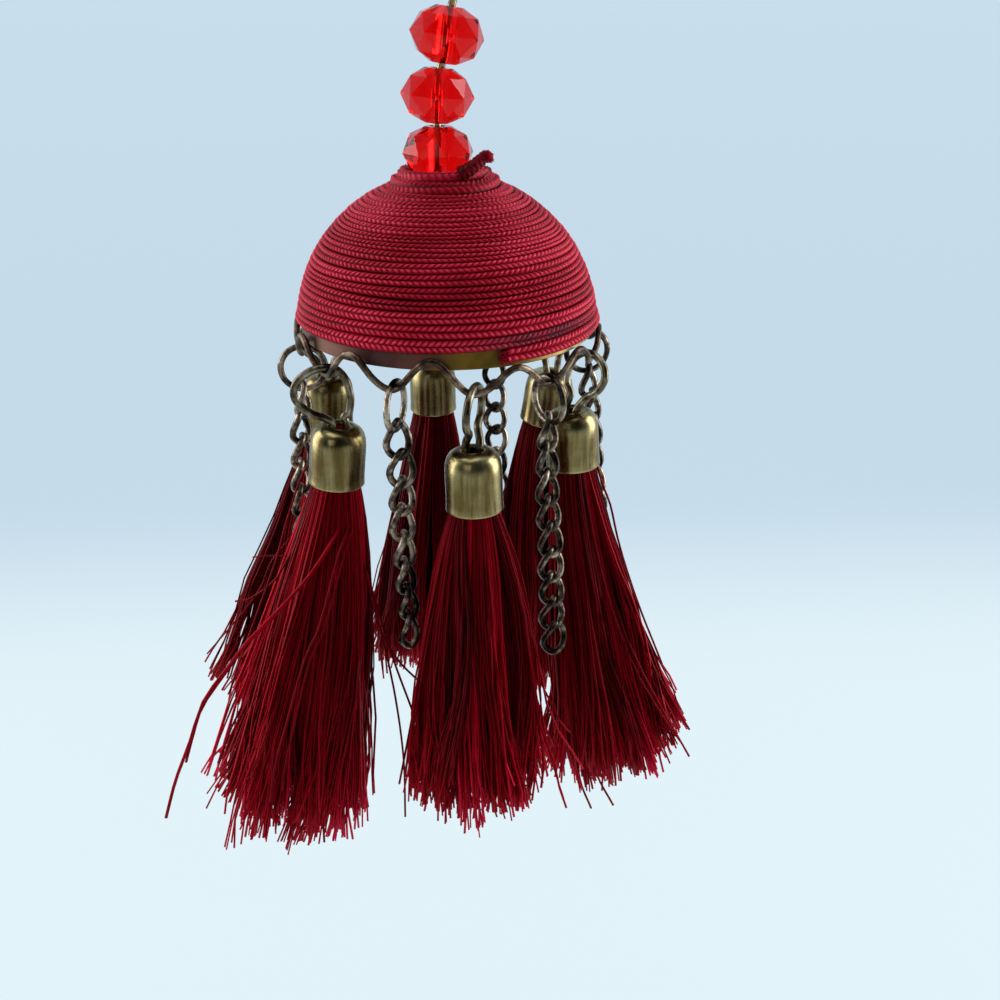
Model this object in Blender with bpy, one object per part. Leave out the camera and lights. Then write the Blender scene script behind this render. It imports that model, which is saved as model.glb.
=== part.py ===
"""A hanging silk tassel ornament.

Six silk tassels in brass caps and five curb chains hang from a wavy wire round
the rim of a small brass dome.  The dome is wound with braided cord, and three
faceted beads sit above it on the wire that the ornament hangs by.

Metres, +Z up.  The origin is the inside of the top of the hang wire's eye,
where a hook or an ear wire carries the ornament.  Heights named *_RIM are
measured up from the dome's rim edge, which lies RIM_DROP below the origin.
"""

import math

import bmesh
import bpy
from mathutils import Matrix, Vector

MM = 0.001
SEAT_GAP = 0.30 * MM    # between one piece and the next
HOOK_GAP = 0.42 * MM    # between a hooked loop or ring and the wave it hangs in

# Dome, its cord and its wavy wire
RIM_DROP = 42.05 * MM
DOME_RADIUS = 16.75 * MM
DOME_HEIGHT = 16.65 * MM
DOME_WALL = 0.50 * MM
DOME_HOLE_RADIUS = 1.40 * MM
DOME_SEGMENTS = 40
FLARE_RADIUS = 17.35 * MM
FLARE_HEIGHT = 2.40 * MM

CORD_TURNS = 16.981
CORD_START_AZIMUTH = math.radians(-74.0)
CORD_VALLEY = 0.78 * MM
CORD_CREST = 1.15 * MM
CORD_STACK = 0.60 * MM    # the last turn rides up on the one before it
CORD_CLIMB = 0.60 * MM    # and its end climbs as much again
CORD_SEGMENTS = 32
TAIL_RADIUS = 0.62 * MM

WAVE_COUNT = 12
WAVE_WIRE_RADIUS = 0.375 * MM
WAVE_RADIUS = 18.03 * MM
WAVE_DRAW_IN = 0.53 * MM
WAVE_CREST_RIM = 1.30 * MM
WAVE_TROUGH_RIM = -2.35 * MM
LOW_TROUGHS_RIM = {0: -2.70 * MM, 1: -2.80 * MM, 2: -2.55 * MM}
FIRST_TROUGH_AZIMUTH = math.radians(-81.0)
WAVE_POINTS_EACH = 7

# Hang wire, its eye and the beads on it
STEM_RADIUS = 0.45 * MM
EYE_RADIUS = 3.40 * MM
EYE_FROM = math.radians(-62.0)
EYE_TO = math.radians(261.0)
FOOT_LENGTH = 2.40 * MM
BEAD_RADIUS = 4.10 * MM
BEAD_HALF_HEIGHT = 2.82 * MM
BEAD_TABLE_RADIUS = 1.52 * MM
BEAD_SHOULDER_RADIUS = 3.24 * MM
BEAD_SHOULDER_HEIGHT = 1.93 * MM
BEAD_HOLE_RADIUS = 0.90 * MM
BEAD_SIDES = 8

# Tassels
LOOP_WIRE_RADIUS = 0.45 * MM
LOOP_HEIGHT = 6.95 * MM
LOOP_LEG = 1.85 * MM
LEG_HALF_GAP = 0.75 * MM
CAP_RADIUS = 3.20 * MM
CAP_BORE = 2.80 * MM
CAP_HEIGHT = 7.00 * MM
CAP_HOLE_RADIUS = 1.70 * MM
CAP_SEGMENTS = 14
SILK_NECK = 2.42 * MM
SILK_HEAD_DROP = 2.30 * MM
SILK_SIDES = 20

# Jump rings and chains
RING_WIRE_RADIUS = 0.375 * MM
RING_RADIUS = 2.625 * MM
LINK_PITCH = 3.40 * MM
LINK_HALF_WIDTH = 1.75 * MM
LINK_HALF_THICKNESS = 0.55 * MM

# The cord's rise: turns from its cut end, distance up the dome from the flare's root
CORD_RISE = [
    # turns, up_mm
    (0.0, -2.09),
    (4.0, 3.65),
    (8.0, 8.45),
    (12.0, 12.60),
    (15.0, 16.00),
    (17.1, 19.20),
    (18.1, 20.00),
]

# The loose upper end of the cord, from where it leaves the top turn
TAIL_ROUTE = [
    # x_mm, y_mm, above_rim_mm
    (1.40, -4.45, 18.62),
    (2.60, -4.35, 18.66),
    (3.75, -4.05, 19.35),
    (4.50, -3.80, 19.95),
]

# Beads: centre across the front and above the rim, lean to the right, turn on the wire
BEADS = [
    # name, x_mm, above_rim_mm, lean_deg, turn_deg
    ("bead_1", 0.47, 31.92, 7.5, 8.0),
    ("bead_2", -0.69, 25.86, 4.0, 0.0),
    ("bead_3", -0.75, 19.87, 0.5, 14.0),
]

# Tassels: place round the rim, turn of the wire loop's arch and of its legs, how far the
# loop bulges to one side and how much longer it is, step from the hooked wave to the cap,
# the cap's slope, and the hem's centre, half-widths and how soon the silk flares
TASSELS = [
    # azimuth, arch_turn, leg_turn, loop_half, shoulder, bulge, drop, step_x, step_y
    # slope_x, slope_y, hem_x, hem_y, hem_rim, half_x, half_y, flare
    (-81.0, 70.0, 8.0, 2.65, -28.0, 0.0, 0.55, -0.32, 0.0,
     0.03, -0.04, 3.0, -20.7, -52.6, 8.2, 6.8, 2.6),
    (-21.0, -45.0, -45.0, 2.65, -30.0, 0.6, 0.40, -1.95, 0.0,
     0.075, 0.0, 22.3, -9.0, -57.0, 8.5, 7.3, 0.4),
    (39.0, 20.0, 20.0, 2.65, -28.0, 0.0, 1.60, 0.20, 0.0,
     -0.14, 0.03, 14.5, 14.0, -58.5, 7.2, 7.0, 1.3),
    (99.0, -65.0, -65.0, 2.65, -28.0, 0.0, 2.00, 0.45, 0.0,
     0.0, 0.04, -4.8, 21.0, -59.5, 8.4, 7.0, 1.3),
    (159.0, -10.0, -10.0, 2.65, -28.0, 0.0, 0.00, 0.90, 0.0,
     -0.07, 0.03, -25.0, 9.5, -57.5, 8.5, 7.5, 1.3),
    (-141.0, 7.0, 7.0, 3.10, -48.0, -1.1, 0.30, 1.05, 0.0,
     -0.11, 0.0, -21.3, -15.0, -59.0, 10.9, 7.3, 1.3),
]

# Chains: place round the rim, turn of the ring, number of links, where the top
# and the foot hang from the ring's centre line, and their turns.  The trough at
# 129 degrees carries none.
CHAINS = [
    # azimuth, ring_turn, links, top_x, foot_x, foot_y, turn_top, turn_foot
    (-109.3, 71.0, 8, 0.20, 0.40, 0.0, 10.0, 80.0),
    (-51.0, -58.0, 9, -0.20, 1.35, 0.0, 12.0, 4.0),
    (9.0, 8.0, 8, 0.60, 2.65, 0.0, 60.0, 40.0),
    (69.0, 40.0, 8, 0.00, 0.45, 0.0, 10.0, -20.0),
    (-171.0, 8.0, 8, -0.50, -2.20, 0.0, 75.0, 40.0),
]


def clear_scene():
    for stale in list(bpy.data.objects):
        bpy.data.objects.remove(stale, do_unlink=True)


def make_material(name, colour, roughness, metallic):
    material = bpy.data.materials.new(name)
    material.use_nodes = True
    shader = material.node_tree.nodes["Principled BSDF"]
    shader.inputs["Base Color"].default_value = (*colour, 1.0)
    shader.inputs["Roughness"].default_value = roughness
    shader.inputs["Metallic"].default_value = metallic
    material.diffuse_color = (*colour, 1.0)
    return material


BRASS = make_material("antique_brass", (0.36, 0.31, 0.16), 0.38, 1.0)
BRONZE = make_material("dark_bronze", (0.14, 0.11, 0.08), 0.42, 1.0)
GLASS = make_material("red_glass", (0.78, 0.02, 0.03), 0.06, 0.0)
CORD = make_material("crimson_cord", (0.46, 0.01, 0.05), 0.62, 0.0)
SILK = make_material("crimson_silk", (0.30, 0.0, 0.03), 0.45, 0.0)


def at_rim(x, y, z_rim):
    return Vector((x, y, z_rim - RIM_DROP))


def add_object(name, data, material=None):
    """Put a mesh or a curve in the scene, with its material if it has none yet."""
    if material:
        data.materials.append(material)
    placed = bpy.data.objects.new(name, data)
    bpy.context.collection.objects.link(placed)
    return placed


def finish_mesh(name, bm, sharp_deg):
    bmesh.ops.recalc_face_normals(bm, faces=bm.faces)
    mesh = bpy.data.meshes.new(name)
    bm.to_mesh(mesh)
    bm.free()
    mesh.shade_smooth()
    mesh.set_sharp_from_angle(angle=math.radians(sharp_deg))
    return mesh


def turned_mesh(name, profile, segments):
    """Spin a closed profile of (radius, height) pairs about Z."""
    bm = bmesh.new()
    verts = [bm.verts.new((radius, 0.0, height)) for radius, height in profile]
    edges = [bm.edges.new((verts[i - 1], verts[i])) for i in range(len(verts))]
    bmesh.ops.spin(bm, geom=verts + edges, cent=(0, 0, 0), axis=(0, 0, 1), angle=math.tau,
                   steps=segments, use_merge=True, use_duplicate=False)
    bmesh.ops.remove_doubles(bm, verts=bm.verts, dist=0.001 * MM)
    return finish_mesh(name, bm, 40.0)


def wire_object(name, points, radius, material, cyclic=False):
    """A round wire along the given points."""
    curve = bpy.data.curves.new(name, "CURVE")
    curve.dimensions = "3D"
    curve.bevel_depth = radius
    curve.bevel_resolution = 1
    curve.use_fill_caps = True
    spline = curve.splines.new("POLY")
    spline.points.add(len(points) - 1)
    for slot, point in zip(spline.points, points):
        slot.co = (*point, 1.0)
    spline.use_cyclic_u = cyclic
    spline.use_smooth = True
    return add_object(name, curve, material)


def loft_mesh(name, rings, sharp_deg):
    """A closed skin over rings of equal length, with a point in each end."""
    bm = bmesh.new()
    rows = [[bm.verts.new(point) for point in ring] for ring in rings]
    count = len(rows[0])
    for lower, upper in zip(rows, rows[1:]):
        for i in range(count):
            j = (i + 1) % count
            bm.faces.new((lower[i], lower[j], upper[j], upper[i]))
    for row in (rows[0], rows[-1]):
        middle = bm.verts.new(sum((vert.co for vert in row), Vector()) / count)
        for i in range(count):
            bm.faces.new((row[i], row[(i + 1) % count], middle))
    return finish_mesh(name, bm, sharp_deg)


def spline_through(knots, steps):
    """Points on a smooth curve through the knots, steps to each stretch."""
    padded = [2 * knots[0] - knots[1]] + knots + [2 * knots[-1] - knots[-2]]
    points = []
    for before, start, end, after in zip(padded, padded[1:], padded[2:], padded[3:]):
        for i in range(steps):
            t = i / steps
            points.append(0.5 * (2 * start + (end - before) * t
                                 + (2 * before - 5 * start + 4 * end - after) * t ** 2
                                 + (3 * start - before - 3 * end + after) * t ** 3))
    return points + [knots[-1]]


# ---- dome ---------------------------------------------------------------

def dome_point(up, offset):
    """Radius and rim height at a distance up the dome from its flare, stood off the metal."""
    root = math.asin(FLARE_HEIGHT / DOME_HEIGHT)
    if up < 0:
        foot = Vector((DOME_RADIUS * math.cos(root), FLARE_HEIGHT))
        down = (Vector((FLARE_RADIUS, 0.0)) - foot).normalized()
        out = Vector((-down.y, down.x))
        place = foot - down * up + out * offset
        return place.x, place.y
    angle = root + 2 * up / (DOME_RADIUS + DOME_HEIGHT)
    out = Vector((math.cos(angle) / DOME_RADIUS, math.sin(angle) / DOME_HEIGHT)).normalized()
    return (DOME_RADIUS * math.cos(angle) + offset * out.x,
            DOME_HEIGHT * math.sin(angle) + offset * out.y)


def build_dome():
    root = math.asin(FLARE_HEIGHT / DOME_HEIGHT)
    reach = 0.5 * (DOME_RADIUS + DOME_HEIGHT) * (math.acos(DOME_HOLE_RADIUS / DOME_RADIUS) - root)
    steps = 9
    outer = [dome_point(reach * i / steps, 0.0) for i in range(steps, -1, -1)]
    inner = [dome_point(reach * i / steps, -DOME_WALL) for i in range(steps + 1)]
    inner[-1] = (DOME_HOLE_RADIUS, inner[-1][1])
    lip = [(FLARE_RADIUS, 0.0), (FLARE_RADIUS - DOME_WALL, 0.0)]
    profile = [(radius, height - RIM_DROP) for radius, height in outer + lip + inner]
    add_object("dome_shell", turned_mesh("dome_shell", profile, DOME_SEGMENTS), BRASS)


def cord_rise(turns):
    """Distance up the dome of the cord's lower edge after so many turns."""
    last = len(CORD_RISE) - 1
    stretch = max(i for i in range(last) if turns >= CORD_RISE[i][0] or i == 0)
    (start, low), (end, high) = CORD_RISE[stretch], CORD_RISE[stretch + 1]
    return MM * (low + (high - low) * (turns - start) / (end - start))


def ease(share):
    """Smooth step from 0 to 1."""
    share = min(1.0, max(0.0, share))
    return share * share * (3 - 2 * share)


def cord_lift(turns):
    """How far the last turn and its end ride up off the dome."""
    return CORD_STACK * ease((turns - 16.0) / 0.5) + CORD_CLIMB * ease((turns - 17.15) / 0.25)


def build_cord():
    """The wound cord as one spiral: ribbed outside, smooth inside, cut at both ends."""
    bm = bmesh.new()
    columns = round(CORD_TURNS * CORD_SEGMENTS)

    def spiral(count, offset, share):
        line = []
        for c in range(count):
            azimuth = CORD_START_AZIMUTH + math.tau * c / CORD_SEGMENTS
            turns = c / CORD_SEGMENTS + share
            radius, height = dome_point(cord_rise(turns), offset + cord_lift(turns))
            line.append(bm.verts.new(at_rim(radius * math.cos(azimuth), radius * math.sin(azimuth), height)))
        return line

    edge = spiral(columns + CORD_SEGMENTS + 1, CORD_VALLEY, 0.0)
    crest = spiral(columns + 1, CORD_CREST, 0.5)
    lining = spiral(columns + CORD_SEGMENTS + 1, SEAT_GAP, 0.0)
    for c in range(columns):
        upper = c + CORD_SEGMENTS
        bm.faces.new((edge[c], edge[c + 1], crest[c + 1], crest[c]))
        bm.faces.new((crest[c], crest[c + 1], edge[upper + 1], edge[upper]))
        bm.faces.new((lining[c], lining[upper], lining[upper + 1], lining[c + 1]))
    for c in range(CORD_SEGMENTS):
        upper = columns + c
        bm.faces.new((lining[c], lining[c + 1], edge[c + 1], edge[c]))
        bm.faces.new((edge[upper], edge[upper + 1], lining[upper + 1], lining[upper]))
    for c in (0, columns):
        upper = c + CORD_SEGMENTS
        bm.faces.new((lining[c], edge[c], crest[c], edge[upper], lining[upper]))
    add_object("dome_cord", finish_mesh("dome_cord", bm, 80.0), CORD)

    tail = [at_rim(x * MM, y * MM, above_rim * MM) for x, y, above_rim in TAIL_ROUTE]
    wire_object("cord_tail", spline_through(tail, 2), TAIL_RADIUS, CORD)


def crest_height(azimuth):
    """Rim height of a wave's crest: as high as it goes, or just under the cord's lower edge."""
    turn = ((azimuth - CORD_START_AZIMUTH) / math.tau) % 1.0
    edge = dome_point(cord_rise(turn), CORD_VALLEY)[1]
    return min(WAVE_CREST_RIM, edge - SEAT_GAP - WAVE_WIRE_RADIUS)


def wave_point(azimuth):
    """Centre of the wavy wire at an azimuth."""
    wave = math.tau / WAVE_COUNT
    from_trough = (azimuth - FIRST_TROUGH_AZIMUTH) / wave
    crest_azimuth = FIRST_TROUGH_AZIMUTH + (math.floor(from_trough) + 0.5) * wave
    lift = -math.cos(math.tau * from_trough)
    trough = LOW_TROUGHS_RIM.get(round(from_trough) % WAVE_COUNT, WAVE_TROUGH_RIM)
    height = trough + (crest_height(crest_azimuth) - trough) * 0.5 * (1 + lift)
    radius = WAVE_RADIUS - WAVE_DRAW_IN * max(0.0, -lift) ** 1.5
    return at_rim(radius * math.cos(azimuth), radius * math.sin(azimuth), height)


def build_wave():
    total = WAVE_COUNT * WAVE_POINTS_EACH
    points = [wave_point(FIRST_TROUGH_AZIMUTH + math.tau * i / total) for i in range(total)]
    wire_object("rim_wave", points, WAVE_WIRE_RADIUS, BRONZE, cyclic=True)


# ---- hang wire and beads --------------------------------------------------

def build_hang_wire():
    """One wire: a flat foot under the dome, up through the beads, and round into an eye."""
    under_dome = DOME_HEIGHT - DOME_WALL - SEAT_GAP - STEM_RADIUS - 0.10 * MM
    route = [
        at_rim(FOOT_LENGTH, 0, under_dome),
        at_rim(0.5 * FOOT_LENGTH, 0, under_dome),
        at_rim(0.20 * MM, 0, under_dome + 0.02 * MM),
        at_rim(-0.38 * MM, 0, under_dome + 0.34 * MM),
        at_rim(-0.60 * MM, 0, under_dome + 1.00 * MM),
    ]
    for name, x, above_rim, lean, turn in reversed(BEADS):
        axis = Vector((math.sin(math.radians(lean)), 0, math.cos(math.radians(lean))))
        centre = at_rim(x * MM, 0, above_rim * MM)
        route += [centre - axis * 0.62 * BEAD_HALF_HEIGHT, centre + axis * 0.62 * BEAD_HALF_HEIGHT]
    eye_centre = Vector((0, 0, STEM_RADIUS - EYE_RADIUS))
    eye = []
    for i in range(13):
        angle = EYE_FROM + (EYE_TO - EYE_FROM) * i / 12
        eye.append(eye_centre + EYE_RADIUS * Vector((math.cos(angle), 0, math.sin(angle))))
    neck = route[-1].lerp(eye[0], 0.55) + Vector((-0.10 * MM, 0, 0.05 * MM))
    wire_object("hang_wire", spline_through(route + [neck] + eye, 2), STEM_RADIUS, BRASS)


def is_level(face, height):
    return all(abs(vert.co.z - height) < 0.01 * MM for vert in face.verts)


def bead_mesh():
    """A faceted bead: tables, shoulder and girdle rows of points, with a drilled hole."""
    bm = bmesh.new()
    rows = [
        # radius, height, turn in half steps
        (BEAD_TABLE_RADIUS, BEAD_HALF_HEIGHT, 0),
        (BEAD_SHOULDER_RADIUS, BEAD_SHOULDER_HEIGHT, 1),
        (BEAD_RADIUS, 0.0, 0),
        (BEAD_SHOULDER_RADIUS, -BEAD_SHOULDER_HEIGHT, 1),
        (BEAD_TABLE_RADIUS, -BEAD_HALF_HEIGHT, 0),
    ]
    for radius, height, half_steps in rows:
        for i in range(BEAD_SIDES):
            angle = math.tau * (i + 0.5 * half_steps) / BEAD_SIDES
            bm.verts.new((radius * math.cos(angle), radius * math.sin(angle), height))
    bmesh.ops.convex_hull(bm, input=bm.verts)
    table_step = (BEAD_TABLE_RADIUS - BEAD_HOLE_RADIUS) * math.cos(math.pi / BEAD_SIDES)
    for height in (BEAD_HALF_HEIGHT, -BEAD_HALF_HEIGHT):
        table = [face for face in bm.faces if is_level(face, height)]
        table = bmesh.ops.dissolve_faces(bm, faces=table)["region"]
        bmesh.ops.inset_region(bm, faces=table, thickness=table_step)
    mouth, far_mouth = [[face for face in bm.faces if is_level(face, height) and len(face.verts) > 4][0]
                        for height in (BEAD_HALF_HEIGHT, -BEAD_HALF_HEIGHT)]
    bmesh.ops.delete(bm, geom=[far_mouth], context="FACES_ONLY")
    drilled = bmesh.ops.extrude_discrete_faces(bm, faces=[mouth])["faces"]
    bmesh.ops.translate(bm, verts=drilled[0].verts[:], vec=(0, 0, -2 * BEAD_HALF_HEIGHT))
    bmesh.ops.delete(bm, geom=drilled, context="FACES_ONLY")
    bmesh.ops.remove_doubles(bm, verts=bm.verts, dist=0.01 * MM)
    return finish_mesh("bead", bm, 1.0)


def build_beads():
    mesh = bead_mesh()
    mesh.materials.append(GLASS)
    for name, x, above_rim, lean, turn in BEADS:
        bead = add_object(name, mesh)
        bead.location = at_rim(x * MM, 0, above_rim * MM)
        bead.rotation_euler = (Matrix.Rotation(math.radians(lean), 3, "Y")
                               @ Matrix.Rotation(math.radians(turn), 3, "Z")).to_euler()


# ---- tassels ----------------------------------------------------------------

def teardrop(half_width, shoulder):
    """Centre line of a tassel's wire loop in XZ: up one leg, round, and down the other."""
    centre_z = LOOP_HEIGHT - half_width
    arc = []
    for i in range(8):
        angle = shoulder + (math.pi - 2 * shoulder) * i / 7
        arc.append(Vector((half_width * math.cos(angle), 0, centre_z + half_width * math.sin(angle))))
    neck = Vector((LEG_HALF_GAP, 0, 0))
    flank = Vector((0.75 * neck.x + 0.25 * arc[0].x, 0, 0.62 * arc[0].z))
    right = [neck - Vector((0, 0, LOOP_LEG)), neck, flank]
    left = [Vector((-point.x, 0, point.z)) for point in reversed(right)]
    return right + arc + left


def build_loop(number, azimuth, arch_turn, leg_turn, half_width, shoulder, bulge, drop, step):
    """The teardrop loop: its arch hooks a wave and its legs reach into the cap."""
    arch_top = wave_point(azimuth) + Vector((0, 0, WAVE_WIRE_RADIUS + HOOK_GAP + LOOP_WIRE_RADIUS))
    foot = arch_top + step - Vector((0, 0, LOOP_HEIGHT + drop))
    points = []
    for point in teardrop(half_width, shoulder):
        rise = min(1.0, max(0.0, point.z / LOOP_HEIGHT))
        aside = Vector((bulge * math.sin(math.pi * max(0.0, rise - 0.08) / 0.92) ** 0.75, 0, drop * rise))
        turn = Matrix.Rotation(math.radians(leg_turn + (arch_turn - leg_turn) * ease(rise / 0.35)), 3, "Z")
        points.append(foot - step * rise + turn @ (point + aside))
    wire_object(f"tassel_loop_{number}", points, LOOP_WIRE_RADIUS, BRASS)
    return foot


def cap_mesh():
    profile = [
        (CAP_HOLE_RADIUS, 0.0),
        (2.50 * MM, -0.50 * MM),
        (CAP_RADIUS, -2.20 * MM),
        (CAP_RADIUS, -CAP_HEIGHT),
        (CAP_BORE, -CAP_HEIGHT),
        (CAP_BORE, -2.40 * MM),
        (CAP_HOLE_RADIUS, -0.75 * MM),
    ]
    return turned_mesh("cap", profile, CAP_SEGMENTS)


def skirt_rings(cap_top, axis, hem, half_x, half_y, flare, phase):
    """Rings of the silk bundle from its head in the cap to its uneven hem."""
    throat = cap_top + axis * CAP_HEIGHT
    reach = (hem - throat).length
    across = Vector((1, 0, 0))
    deep = Vector((0, 1, 0))
    rings = []

    def spread(share, rate):
        return (1 - math.exp(-rate * share)) / (1 - math.exp(-rate))

    def ring(centre, wide, tall, share):
        points = []
        for i in range(SILK_SIDES):
            angle = math.tau * i / SILK_SIDES
            lock = 1 + share * (0.07 * math.cos(5 * angle + phase) + 0.05 * math.cos(8 * angle - 2 * phase))
            ragged = 1.3 * MM * share ** 6 * math.cos(4 * angle + 3 * phase)
            points.append(centre + across * (wide * lock * math.cos(angle))
                          + deep * (tall * lock * math.sin(angle)) + Vector((0, 0, ragged)))
        rings.append(points)

    ring(cap_top + axis * SILK_HEAD_DROP, 0.75 * SILK_NECK, 0.75 * SILK_NECK, 0.0)
    ring(cap_top + axis * (SILK_HEAD_DROP + 0.9 * MM), SILK_NECK, SILK_NECK, 0.0)
    ring(throat + axis * 0.3 * MM, SILK_NECK, SILK_NECK, 0.0)
    for share in (0.07, 0.18, 0.34, 0.55, 0.78, 1.0):
        straight = throat + axis * (reach * share)
        centre = straight + (hem - throat - axis * reach) * share ** 1.4
        ring(centre, SILK_NECK + (half_x - SILK_NECK) * spread(share, flare),
             SILK_NECK + (half_y - SILK_NECK) * spread(share, 1.2), share)
    return rings


def build_tassels():
    mesh = cap_mesh()
    mesh.materials.append(BRASS)
    for number, row in enumerate(TASSELS, start=1):
        (azimuth, arch_turn, leg_turn, loop_half, shoulder, bulge, drop, step_x, step_y,
         slope_x, slope_y, hem_x, hem_y, hem_rim, half_x, half_y, flare) = row
        step = Vector((step_x * MM, step_y * MM, 0))
        cap_top = build_loop(number, math.radians(azimuth), arch_turn, leg_turn, loop_half * MM,
                             math.radians(shoulder), bulge * MM, drop * MM, step)
        axis = Vector((slope_x, slope_y, -1)).normalized()
        cap = add_object(f"tassel_cap_{number}", mesh)
        cap.location = cap_top
        cap.rotation_mode = "QUATERNION"
        cap.rotation_quaternion = Vector((0, 0, -1)).rotation_difference(axis)
        hem = at_rim(hem_x * MM, hem_y * MM, hem_rim * MM)
        rings = skirt_rings(cap_top, axis, hem, half_x * MM, half_y * MM, flare, 1.7 * number)
        add_object(f"tassel_silk_{number}", loft_mesh(f"tassel_silk_{number}", rings, 70.0), SILK)


# ---- chains -----------------------------------------------------------------

def chain_rings(top, foot, links, turn_top, turn_foot):
    """Sections down a chain's outer form: wide at each link, narrow where links meet."""
    rings = []
    for i in range(2 * links + 1):
        share = i / (2 * links)
        at_link = i % 2 == 1
        wide = LINK_HALF_WIDTH if at_link else 0.60 * LINK_HALF_WIDTH
        thick = LINK_HALF_THICKNESS if at_link else 1.4 * LINK_HALF_THICKNESS
        turn = Matrix.Rotation(math.radians(turn_top + (turn_foot - turn_top) * share), 3, "Z")
        centre = top.lerp(foot, share)
        points = []
        for corner in range(6):
            angle = math.tau * corner / 6
            points.append(centre + turn @ Vector((wide * math.cos(angle), thick * math.sin(angle), 0)))
        rings.append(points)
    return rings


def ring_mesh():
    """A jump ring in the XZ plane."""
    bm = bmesh.new()
    section = bmesh.ops.create_circle(bm, cap_ends=False, segments=6, radius=RING_WIRE_RADIUS)
    bmesh.ops.translate(bm, verts=section["verts"], vec=(RING_RADIUS, 0, 0))
    bmesh.ops.spin(bm, geom=bm.verts[:] + bm.edges[:], cent=(0, 0, 0), axis=(0, 1, 0),
                   angle=math.tau, steps=14, use_merge=True, use_duplicate=False)
    bmesh.ops.remove_doubles(bm, verts=bm.verts, dist=0.001 * MM)
    return finish_mesh("jump_ring", bm, 60.0)


def build_chains():
    mesh = ring_mesh()
    mesh.materials.append(BRONZE)
    for number, row in enumerate(CHAINS, start=1):
        azimuth, ring_turn, links, top_x, foot_x, foot_y, turn_top, turn_foot = row
        hooked = wave_point(math.radians(azimuth))
        centre = hooked + Vector((0, 0, WAVE_WIRE_RADIUS + HOOK_GAP + RING_WIRE_RADIUS - RING_RADIUS))
        ring = add_object(f"jump_ring_{number}", mesh)
        ring.location = centre
        ring.rotation_euler = (0, 0, math.radians(ring_turn))
        under_ring = centre - Vector((0, 0, RING_RADIUS + RING_WIRE_RADIUS + SEAT_GAP))
        top = under_ring + Vector((top_x * MM, 0, 0))
        foot = under_ring + Vector((foot_x * MM, foot_y * MM, -LINK_PITCH * links))
        rings = chain_rings(top, foot, links, turn_top, turn_foot)
        add_object(f"curb_chain_{number}", loft_mesh(f"curb_chain_{number}", rings, 20.0), BRONZE)


clear_scene()
build_dome()
build_cord()
build_wave()
build_hang_wire()
build_beads()
build_tassels()
build_chains()
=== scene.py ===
"""A hanging silk tassel ornament: wound dome, beads, six tassels and five chains, dressed over its frame.

Metres, +Z up. The origin is the inside of the top of the hang wire's eye, and heights named
*_RIM are measured up from the dome's rim edge.
"""

import math
import random

import bmesh
import bpy
from mathutils import Matrix, Vector


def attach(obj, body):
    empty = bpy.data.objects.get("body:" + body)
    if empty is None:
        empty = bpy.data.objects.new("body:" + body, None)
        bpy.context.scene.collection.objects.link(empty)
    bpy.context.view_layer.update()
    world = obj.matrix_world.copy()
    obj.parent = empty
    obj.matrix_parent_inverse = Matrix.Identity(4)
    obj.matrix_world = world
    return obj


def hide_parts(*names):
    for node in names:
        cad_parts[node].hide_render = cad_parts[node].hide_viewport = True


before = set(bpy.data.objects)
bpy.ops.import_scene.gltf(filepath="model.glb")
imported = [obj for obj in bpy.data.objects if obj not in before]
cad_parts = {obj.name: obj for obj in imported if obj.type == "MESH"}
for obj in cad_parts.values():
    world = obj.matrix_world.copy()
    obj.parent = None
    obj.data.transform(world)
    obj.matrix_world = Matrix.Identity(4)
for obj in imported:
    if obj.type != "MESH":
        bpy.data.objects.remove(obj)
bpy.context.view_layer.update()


# ---- the studio -----------------------------------------------------------------
# The ornament hangs in mid air over a floor that glows with painted light: pale near it, fading to a cooler
# grey blue behind and far off.
# A camera looks slightly down on it; soft boxes stand at its sides, behind it and over it.

MM = 0.001
CAMERA_PLACE = Vector((0.0, -123.18, -6.91)) * MM
PITCH, YAW, ROLL = (math.radians(angle) for angle in (25.3816, -2.9416, 0.1985))
FLOOR_DEPTH, FLOOR_RADIUS = -0.235, 60.0

ahead = Vector((-math.sin(YAW) * math.cos(PITCH), math.cos(YAW) * math.cos(PITCH), -math.sin(PITCH)))
level = Vector((math.cos(YAW), math.sin(YAW), 0.0))
upward = level.cross(ahead)
right = math.cos(ROLL) * level + math.sin(ROLL) * upward
top = -math.sin(ROLL) * level + math.cos(ROLL) * upward
camera_data = bpy.data.cameras.new("camera")
camera_data.sensor_width = 36.0
camera_data.lens = 37.8
camera_data.clip_start = 0.002
camera = bpy.data.objects.new("camera", camera_data)
bpy.context.collection.objects.link(camera)
camera.matrix_world = Matrix.Translation(CAMERA_PLACE) @ Matrix((right, top, -ahead)).transposed().to_4x4()
bpy.context.scene.camera = camera
bpy.context.scene.view_settings.view_transform = "Standard"


def new_material(name, **constants):
    """A material with constants on its shader's sockets, underscores standing for spaces."""
    material = bpy.data.materials.new(name)
    material.use_nodes = True
    for socket, value in constants.items():
        material.node_tree.nodes["Principled BSDF"].inputs[socket.replace("_", " ")].default_value = value
    return material


def add_node(material, kind, settings=None, **inputs):
    """A node of a material. An input is a number, a colour or another node's output socket."""
    made = material.node_tree.nodes.new("ShaderNode" + kind)
    for name, value in (settings or {}).items():
        setattr(made, name, value)
    for name, value in inputs.items():
        socket = made.inputs[int(name[1:]) if name[1:].isdigit() else name.replace("_", " ")]
        if isinstance(value, bpy.types.NodeSocket):
            material.node_tree.links.new(value, socket)
        else:
            socket.default_value = value
    return made


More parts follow.
